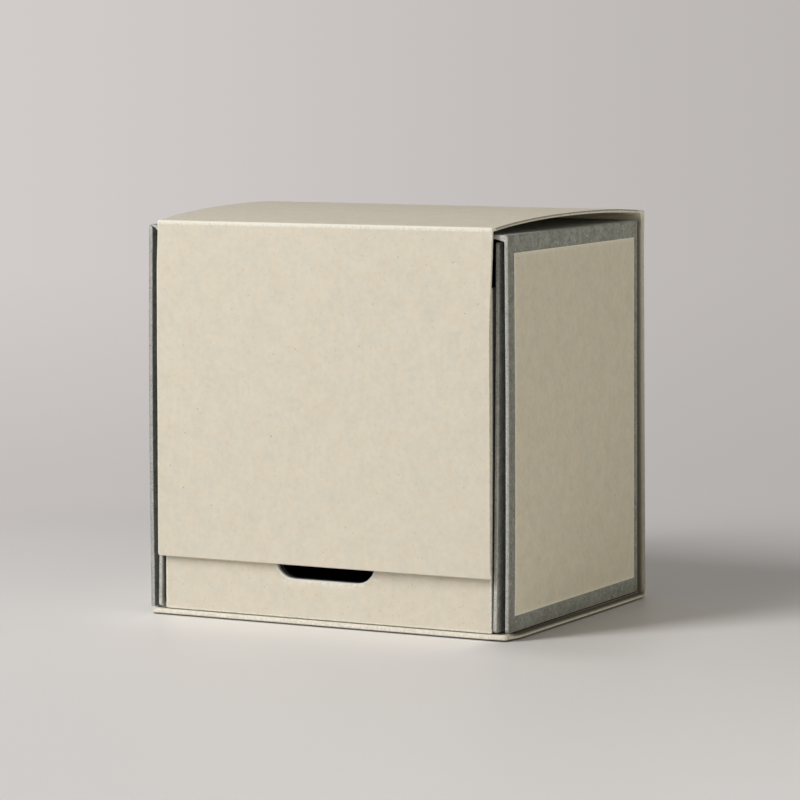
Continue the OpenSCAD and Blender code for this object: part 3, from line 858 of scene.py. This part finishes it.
back_rows = [Row((REAR_Y, z), (rear_in_y, z), -back_half(z), back_half(z))
             for z in steps(REAR_Z - rear_reach, BASE_T + 1.2, 5.0)]
back_rows += [Row(o, i, -back_half(0), back_half(0)) for o, i in zip(
    fillet((REAR_Y, 3), (REAR_Y, 0), (REAR_Y - 3, 0), 0.5, 6),
    fillet((rear_in_y, 4), (rear_in_y, BASE_T), (REAR_Y - 5, BASE_T), 0.15, 6))]
base_lines = steps(rear_in_y - 1.5, BASE_LOW.y + BASE_RUN, 5.0)
base_lines += steps(BASE_LOW.y + BASE_RUN, BASE_LOW.y, 1.5)[1:]
base_rows = [Row((y, 0), (y, BASE_T), -base_half(y), base_half(y)) for y in base_lines]
covered_board("base_and_back_board", back_rows + rounded_end(base_rows, 0.6, corner=0.7),
              in_yz, 0.5, cream_board, "root", ["base_board", "back_board"], base_bend,
              ends=("seam", "end"), stain=case_stain)

LINING_R = 0.08  # rounding of the card's linings
lining_low, lining_high = span("flap_lining")
lining_x = FLAP_X - 0.7
flat_board("flap_lining_paper", (-lining_x, lining_high.y, lining_low.z),
           (lining_x, lining_low.y, lining_high.z), 1, LINING_R, cream_lining, "flap",
           ["flap_lining"], corner=0.6, bend=case_bend)
lining_low, lining_high = span("lid_lining")
LINING_T = 0.25
lining_rows = [Row((y, lid_top(y) - CARD - 0.01), (y, lid_top(y) - CARD - LINING_T),
                   2 - lid_half(y), lid_half(y) - 2)
               for y in steps(lining_low.y, lining_high.y, 3.0)]
covered_board("lid_lining_paper", both_ends(lining_rows, LINING_R), in_yz, LINING_R,
              cream_lining, "lid", ["lid_lining"], case_bend, ends=("end", "end"))


def disc_pair(name, node, finish, body, bend):
    """Two thin upright discs with softened rims, in place of a node's pair."""
    low, high = span(node)
    r, soft, n = (high.z - low.z) / 2, 0.12, 40
    points, faces = [], []
    for x in (low.x + r, high.x - r):
        rings = [range(len(points) + k * n, len(points) + (k + 1) * n) for k in range(4)]
        points += [Vector((x + radius * math.cos(a), y, low.z + r + radius * math.sin(a)))
                   for radius, y in ((r - soft, low.y), (r, low.y + soft),
                                     (r, high.y - soft), (r - soft, high.y))
                   for a in spread(0, 2 * math.pi, n)[:-1]]
        faces += [rings[0], rings[3][::-1], *bands(rings[::-1])]
    return new_piece(name, points, faces, Vector((0, -1, 0)), finish, body, [node], bend)


disc_pair("flap_magnet_discs", "flap_magnets", nickel, "flap", case_bend)

# -------- sleeve

SLEEVE_X, SLEEVE_IN_X = SLEEVE_HIGH.x, SLEEVE_LOW.x
SLEEVE_Z0, SLEEVE_Z1 = SLEEVE_LOW.z, SLEEVE_HIGH.z
SLEEVE_Y0, SLEEVE_Y1 = SLEEVE_LOW.y, SLEEVE_HIGH.y - 0.7
CEILING = span("sleeve_top")[0].z
SLEEVE_R = 0.8  # rounding of its upper long edges
WALL_TOP, CORNER_IN = 3.0, 1.6  # where the walls' outer and inner faces end
LEFT_FOOT, RIGHT_FOOT = SLEEVE_Z0 - 0.2, SLEEVE_Z0 + 0.2
LEFT_IN_X = 0.15 - SLEEVE_IN_X
RIGHT_BELLY, LEFT_BELLY = 0.15, -0.34  # how far the walls bow out in front
LEFT_RISE = 0.45  # how much higher its upper left edge is


def sleeve_bend(p):
    """The side walls belly out in front, where nothing holds them, and the right one
    leans inwards a little at the top. The upper left edge lies higher."""
    q = p.copy()
    if abs(p.x) > SLEEVE_IN_X - 1.5:
        height = min(max((p.z - SLEEVE_Z0) / (SLEEVE_Z1 - SLEEVE_Z0), 0), 1)
        t = math.sin(math.pi * height)
        fade = 1 - smooth((p.y - SLEEVE_Y0) / (SLEEVE_Y1 - SLEEVE_Y0))
        side = 1 if p.x > 0 else -1
        q.x += side * 0.05 * noise.noise(Vector((side * 9, p.y * 0.04, p.z * 0.05))) * t
        out = RIGHT_BELLY * t + 0.03 - 0.16 * (1 - height) ** 8 - 0.2 * height ** 3
        q.x += fade * (out if side > 0 else LEFT_BELLY * t)
        if side < 0:
            q.z += LEFT_RISE * smooth((p.z - 112) / 2) * smooth((-p.x - 54.5) / 2)
    wave = noise.noise(Vector((p.x * 0.04, p.y * 0.04, 2.2)))
    q.z += 0.05 * wave * smooth((p.z - 110) / 3)
    return q


def sleeve_stain(p, edge, depth):
    """Painted shade on the sleeve: along its foot, beside its front and rear edges, and on
    the outer half of the front ones."""
    if abs(p.x) < SLEEVE_X - 0.9:
        return 0.0
    if edge < 0.3 and p.y < 0:
        return 0.30 * smooth((0.75 - depth) / 0.4)
    front = 0.30 * smooth(1 - (p.y - SLEEVE_Y0 - 0.3) / 6)
    rear = 0.15 * smooth((p.y - SLEEVE_Y1 + 3) / 2)
    return 0.30 * smooth(1 - (p.z - SLEEVE_Z0) / 6) + front + rear


def sleeve_worn(p):
    """Its upper front corners are rubbed most, its feet not at all."""
    corner = 1.2 * smooth((abs(p.x) - 54) / 2) * smooth((p.z - 112.5) / 1.5)
    return corner - smooth((SLEEVE_Z0 + 1.5 - p.z) / 1) * smooth((p.x - 50) / 2)


def sleeve_section():
    """Outer and inner points round the sleeve, from the left foot to the right one."""
    outer, inner = [], []
    x, top, turn = SLEEVE_X, SLEEVE_Z1, SLEEVE_Z1 - WALL_TOP
    for z in steps(LEFT_FOOT, turn, 5.0):
        outer.append((-x, z))
        inner.append((LEFT_IN_X, min(z, CEILING - CORNER_IN)))
    outer += fillet((-x, turn), (-x, top), (WALL_TOP - x, top), SLEEVE_R, 6)
    inner += zip(spread(LEFT_IN_X, LEFT_IN_X + 2.4, 6),
                 spread(CEILING + 0.55, CEILING - 0.35, 6))
    for across in steps(4.0 - x, x - 4.5, 6.0):
        outer.append((across, top))
        inner.append((across, CEILING))
    outer += fillet((x - WALL_TOP, top), (x, top), (x, turn), SLEEVE_R, 6)
    inner += zip(spread(SLEEVE_IN_X - 2.8, SLEEVE_IN_X, 6),
                 spread(CEILING, CEILING - 0.75, 6))
    for z in steps(turn, RIGHT_FOOT, 5.0):
        outer.append((x, z))
        inner.append((SLEEVE_IN_X, min(z, CEILING - CORNER_IN)))
    return [Row(o, i, SLEEVE_Y0, SLEEVE_Y1) for o, i in zip(outer, inner)]


covered_board("sleeve_shell", both_ends(sleeve_section(), 0.15, 0.6, 1.5), in_xz, 0.15,
              grey_board, "root", ["sleeve_top", "sleeve_left_wall", "sleeve_right_wall"],
              sleeve_bend, cell=6.0, ends=("end", "end"), stain=sleeve_stain,
              worn=sleeve_worn)


def side_board(name, node, r, finish, body, trim=(0.0, 0.0), **more):
    """A board of a left or right side, its outer face away from the middle. trim is
    taken off its foot and its rear end."""
    low, high = span(node)
    low.z, high.y = low.z + trim[0], high.y - trim[1]
    if low.x > 0:
        low.x, high.x = high.x, low.x
    flat_board(name, low, high, 0, r, finish, body, [node], **more)


for label in ("left_label", "right_label"):
    side_board(label + "_paper", label, 0.06, cream_label, "root", trim=(0.25, 0.6),
               corner=0.25, bend=sleeve_bend, worn=lambda p: 1.2)

# -------- drawer

LEAN = 2.1  # how far its side walls lean back at the top
LEAN_RUN = 25.0  # depth over which they take that up
FRONT_SHIFT = 0.18  # how far its front sits to the right
FRONT_BACK, FRONT_UP = 0.45, 0.06  # and how far in and up
LEFT_SHIFT, RIGHT_SHIFT = 0.68, -0.65  # how far its side walls move inwards in front


def wall_lean(shift):
    """The bend of a side wall: its front part leans back and moves by shift in x."""
    def bend(p):
        height = (p.z - DRAWER_LOW.z) / (DRAWER_HIGH.z - DRAWER_LOW.z)
        back_by = LEAN * (1 - max(1 - height, 0.0) ** 1.6)
        fade = 1 - smooth((p.y - DRAWER_LOW.y - 4) / LEAN_RUN)
        return p + Vector((shift * fade, back_by * fade, 0))
    return bend


def wall_worn(p):
    """The left wall's lower front corner is rubbed most; the right wall is rubbed less
    above, a painted shade where the flap's shadow falls on its front edge.
    """
    if p.x < 0:
        return smooth((5 - p.z) / 2)
    return -0.35 * smooth((p.z - 15) / 15)


def front_fit(left_draw, right_draw):
    """The bend of a sheet of the drawer's front: its sides are drawn in so far, and
    all of it, with the finger notch, moves a little to the right, in and up."""
    def bend(p):
        draw = left_draw if p.x < 0 else -right_draw
        return p + Vector((FRONT_SHIFT + draw * smooth((abs(p.x) - 20) / 30),
                           FRONT_BACK, FRONT_UP))
    return bend


sides = (("left", LEFT_SHIFT, 1.1), ("right", RIGHT_SHIFT, 0.8))
for side, shift, corner in sides:
    node = "drawer_" + side + "_wall"
    side_board(node + "_board", node, 0.25, grey_board, "drawer", corner=corner,
               bend=wall_lean(shift), worn=wall_worn)
for side, shift, corner in sides:
    node = side + "_lining"
    flat_board(node + "_sheet", *span(node), 0, 0.06, black_lining, "drawer", [node],
               bend=wall_lean(shift))
for node, finish, r in (("drawer_back_wall", grey_board, 0.3),
                        ("back_lining", black_lining, 0.06)):
    flat_board(node + "_sheet", *span(node), 1, r, finish, "drawer", [node])

NOTCH_LOW, NOTCH_HIGH, NOTCH_W = 13.5, 25.5, 32.7


def notch_line(n=10):
    """The finger notch's line, clockwise, with round ends."""
    r, mid = (NOTCH_HIGH - NOTCH_LOW) / 2, (NOTCH_HIGH + NOTCH_LOW) / 2
    x = NOTCH_W / 2 - r
    return [(side * (x + r * math.sin(a)), mid + side * r * math.cos(a))
            for side in (1, -1) for a in spread(0, math.pi, n)]


def box_line(low, high, r, n=4):
    """A rectangle with round corners, counterclockwise."""
    corners = ((high.x - r, low.z + r), (high.x - r, high.z - r),
               (low.x + r, high.z - r), (low.x + r, low.z + r))
    return [(x + r * math.cos(a), z + r * math.sin(a))
            for k, (x, z) in enumerate(corners)
            for a in spread(math.pi / 2 * (k - 1), math.pi / 2 * k, n)]


def panel_stain(u, v, w):
    """Painted shade on cut edges: both sides of the panel, and the left end of its notch,
    which faces away from the key lamp.
    """
    if w < 0.3:
        return 0.0
    near_notch = abs(u) < 20 and NOTCH_LOW - 1.5 < v < NOTCH_HIGH + 1.5
    in_notch = 0.75 * smooth((-11 - u) / 4) if near_notch else 0.0
    return max(in_notch, 0.95 * smooth((abs(u) - 53) / 0.6))


for node, radii, corner, draws, finish, more in (
        ("drawer_front_panel", (0.25, 0.20), 0.6, (0.33, 0.28), cream_board,
         {"others": (grey_board.material, pale_core), "kinds": (0, 0, 1, 2)}),
        ("drawer_front_board", (0.2, 0.1), 0.3, (0.26, 1.17), black_lining, {}),
        ("front_lining", (0.05, 0.05), 0.2, (0.06, 0.97), black_lining, {})):
    low, high = span(node)
    cut_board(node + "_sheet", box_line(low, high, corner), notch_line(), high.y - low.y,
              lambda u, v, w, y=low.y: (u, y + w, v), radii, finish, "drawer", [node],
              front_fit(*draws), panel_stain, **more)

# -------- nodes that stay

# The floor sheet's black paper is painted shade in the gap under the sleeve's walls.
stay = {"floor_sheet": black_lining.material, "mounting_sheet": adhesive_sheet,
        "sleeve_back_wall": grey_board.material, "drawer_floor": grey_board.material,
        "floor_lining": black_lining.material, "catch_discs": plain_steel}
stay.update((place + "_tape", kraft_tape) for place in (
    "left_foot", "right_foot", "back_foot", "left_corner", "right_corner", "top_corner"))
for name, material in stay.items():
    piece = frame["nodes"][name]
    piece.data.materials.clear()
    piece.data.materials.append(material)
    bevel = piece.modifiers.new("soft_edges", "BEVEL")
    low, high = span(name)
    bevel.width = min(0.25, min(high - low) * 0.3) * MM
    bevel.segments = 3
    bevel.limit_method = "ANGLE"
    bevel.harden_normals = True

# -------- floor and light

RINGS = (0.1, 0.2, 0.3, 0.5, 0.9, 1.8, 4.0, 10.0, 30.0)
SECTORS = 64
spots = [(0, 0, 0)] + [(ring * math.cos(a), ring * math.sin(a), 0) for ring in RINGS
                       for a in spread(0, 2 * math.pi, SECTORS)[:-1]]
rings = [range(1 + k * SECTORS, 1 + (k + 1) * SECTORS) for k in range(len(RINGS))]
faces = [(0, rings[0][k - 1], rings[0][k]) for k in range(SECTORS)]
faces += bands(rings[::-1])
floor_mesh = bpy.data.meshes.new("floor")
floor_mesh.from_pydata(spots, [], faces)
floor = bpy.data.objects.new("floor", floor_mesh)
bpy.context.scene.collection.objects.link(floor)

FLOOR = (0.765, 0.751, 0.748)
# The far floor's glow and the world's background carry painted light: brighter towards the key
# lamp, dimmer on the other side, with a darker band behind the box.
BRIGHT_SIDE = (0.643, 0.608, 0.589)  # the backdrop's tone towards the key lamp
DIM_SIDE = (0.495, 0.470, 0.457)  # and on the other side
FADE = 0.13559  # share of the distance over which it fades
DIP_NEAR, DIP_FAR, DIP = 0.33, 1.5, 0.853  # darker band behind the box, and its tone
# Painted light and shade: how much paler the floor is than its plain colour, left and
# right: at the picture's foot and level with the box; then close to the box's sides and to its
# front.
NEAR_GAIN, FAR_GAIN = (0.89, 1.17), (0.985, 1.0)
SIDE_GAIN, FRONT_GAIN = (0.05, -0.17), 0.17
LIFT = 0.08  # painted light: brighter floor on the left, beside the box
LIT_SPOT, LIT_NEAR, LIT_FAR = (0.06, -0.12, 0.0), 0.25, 0.42  # the lit floor's reach


def backdrop_tone(n, place, near):
    """Colour of the far floor, and how far it has dimmed towards +X."""
    across = n.length("DOT_PRODUCT", place, tuple(level_right))
    reach = n.math("ADD", n.length("LENGTH", place), near)
    share = n.ramp(n.math("DIVIDE", across, reach), -FADE, FADE)
    return n.mix(share, BRIGHT_SIDE, DIM_SIDE), share


def seen_ray(n):
    """1 for rays that show the background: from the camera, gloss or glass."""
    path = n("ShaderNodeLightPath").outputs
    seen = n.math("MAXIMUM", path["Is Camera Ray"], path["Is Glossy Ray"])
    return n.math("MAXIMUM", seen, path["Is Transmission Ray"])


def floor_gain(n, place, depth):
    """How much paler than its plain colour the floor is, as painted light and shade: uneven
    over the picture, paler where the box throws light on it and darker beside its shaded side."""
    x, y = n("ShaderNodeSeparateXYZ", Vector=place).outputs[:2]
    across = n.length("DOT_PRODUCT", place, tuple(level_right))
    near, far = (n.ramp(across, -0.10, 0.10, *gain, "LINEAR")
                 for gain in (NEAR_GAIN, FAR_GAIN))
    nearness = n.ramp(depth, -0.27, 0.01, 1.0, 0.0, "LINEAR")
    gain = n.fused(nearness, n.math("SUBTRACT", near, far), far)
    wide = n.math("ABSOLUTE", x)
    ahead = n.times(n.ramp(y, -0.086, -0.036), n.ramp(wide, 0.085, 0.045),
                    n.ramp(y, -0.035, -0.048))
    beside = n.times(n.ramp(wide, 0.115, 0.064), n.ramp(wide, 0.050, 0.058),
                     n.ramp(y, 0.070, -0.030), n.ramp(y, -0.075, -0.045))
    side_gain = n.ramp(x, -0.01, 0.01, *SIDE_GAIN, "LINEAR")
    gain = n.fused(n.times(ahead, FRONT_GAIN), gain, gain)
    return n.fused(n.times(beside, side_gain), gain, gain)


pale_floor, n, place = new_material("pale_floor")
tone, share = backdrop_tone(n, place, CAMERA_DISTANCE)
depth = n.length("DOT_PRODUCT", place, tuple(away))
reach = n.math("ADD", n.math("MAXIMUM", depth, 0.0), CAMERA_DISTANCE)
band = n.ramp(n.math("DIVIDE", CAMERA_DISTANCE, reach),
              CAMERA_DISTANCE / (CAMERA_DISTANCE + DIP_FAR),
              CAMERA_DISTANCE / (CAMERA_DISTANCE + DIP_NEAR), kind="LINEAR")
dimmed = n.fused(share, 0.5, 0.5)
dimmed = n.times(n.math("SUBTRACT", 1.5, dimmed), band)
lift = n.times(n.ramp(depth, 0.22, 0.12), n.math("SUBTRACT", 1.0, share))
lift = n.fused(lift, LIFT, 1.0)
tone_scale = n.times(n.fused(dimmed, DIP - 1.0, 1.0), lift)
glow = n("ShaderNodeEmission", Color=n.scaled(tone, tone_scale))
matt_colour = n.scaled(FLOOR, n.times(floor_gain(n, place, depth), lift))
matt = n("ShaderNodeBsdfPrincipled", Base_Color=matt_colour, Roughness=0.5,
         Specular_IOR_Level=0.3)
beyond = n.ramp(n.length("DISTANCE", place, LIT_SPOT), LIT_NEAR, LIT_FAR)
n.show(n("ShaderNodeMixShader", i0=n.times(beyond, seen_ray(n)), i1=matt.outputs[0],
         i2=glow.outputs[0]))
floor_mesh.materials.append(pale_floor)

world = bpy.data.worlds.new("studio")
bpy.context.scene.world = world
world.use_nodes = True
n = Nodes(world.node_tree)
tone, _ = backdrop_tone(n, n("ShaderNodeTexCoord").outputs["Generated"], 0.0)
soft_light = n("ShaderNodeBackground", Color=(1.0, 0.975, 0.935, 1), Strength=0.22)
shown = n("ShaderNodeBackground", Color=tone, Strength=1.0)
n.show(n("ShaderNodeMixShader", i0=seen_ray(n), i1=soft_light.outputs[0],
         i2=shown.outputs[0]), "World")


def softbox(name, direction, distance, width, height, power, colour):
    """A rectangular lamp that faces the box from a direction."""
    lamp = bpy.data.lights.new(name, "AREA")
    lamp.shape, lamp.size, lamp.size_y = "RECTANGLE", width, height
    lamp.energy, lamp.color = power, colour
    made = bpy.data.objects.new(name, lamp)
    aim = Vector(direction).normalized()
    made.location = Vector((0, 0, 0.055)) + aim * distance
    made.rotation_mode = "QUATERNION"
    made.rotation_quaternion = aim.to_track_quat("Z", "Y")
    bpy.context.scene.collection.objects.link(made)


softbox("key_lamp", (-0.364, -0.678, 0.639), 1.145, 0.30, 0.85, 9.8, (1.0, 0.99, 0.975))
softbox("fill_lamp", (0.95, -0.26, 0.10), 1.4, 1.1, 0.28, 3.7, (1.0, 0.955, 0.71))
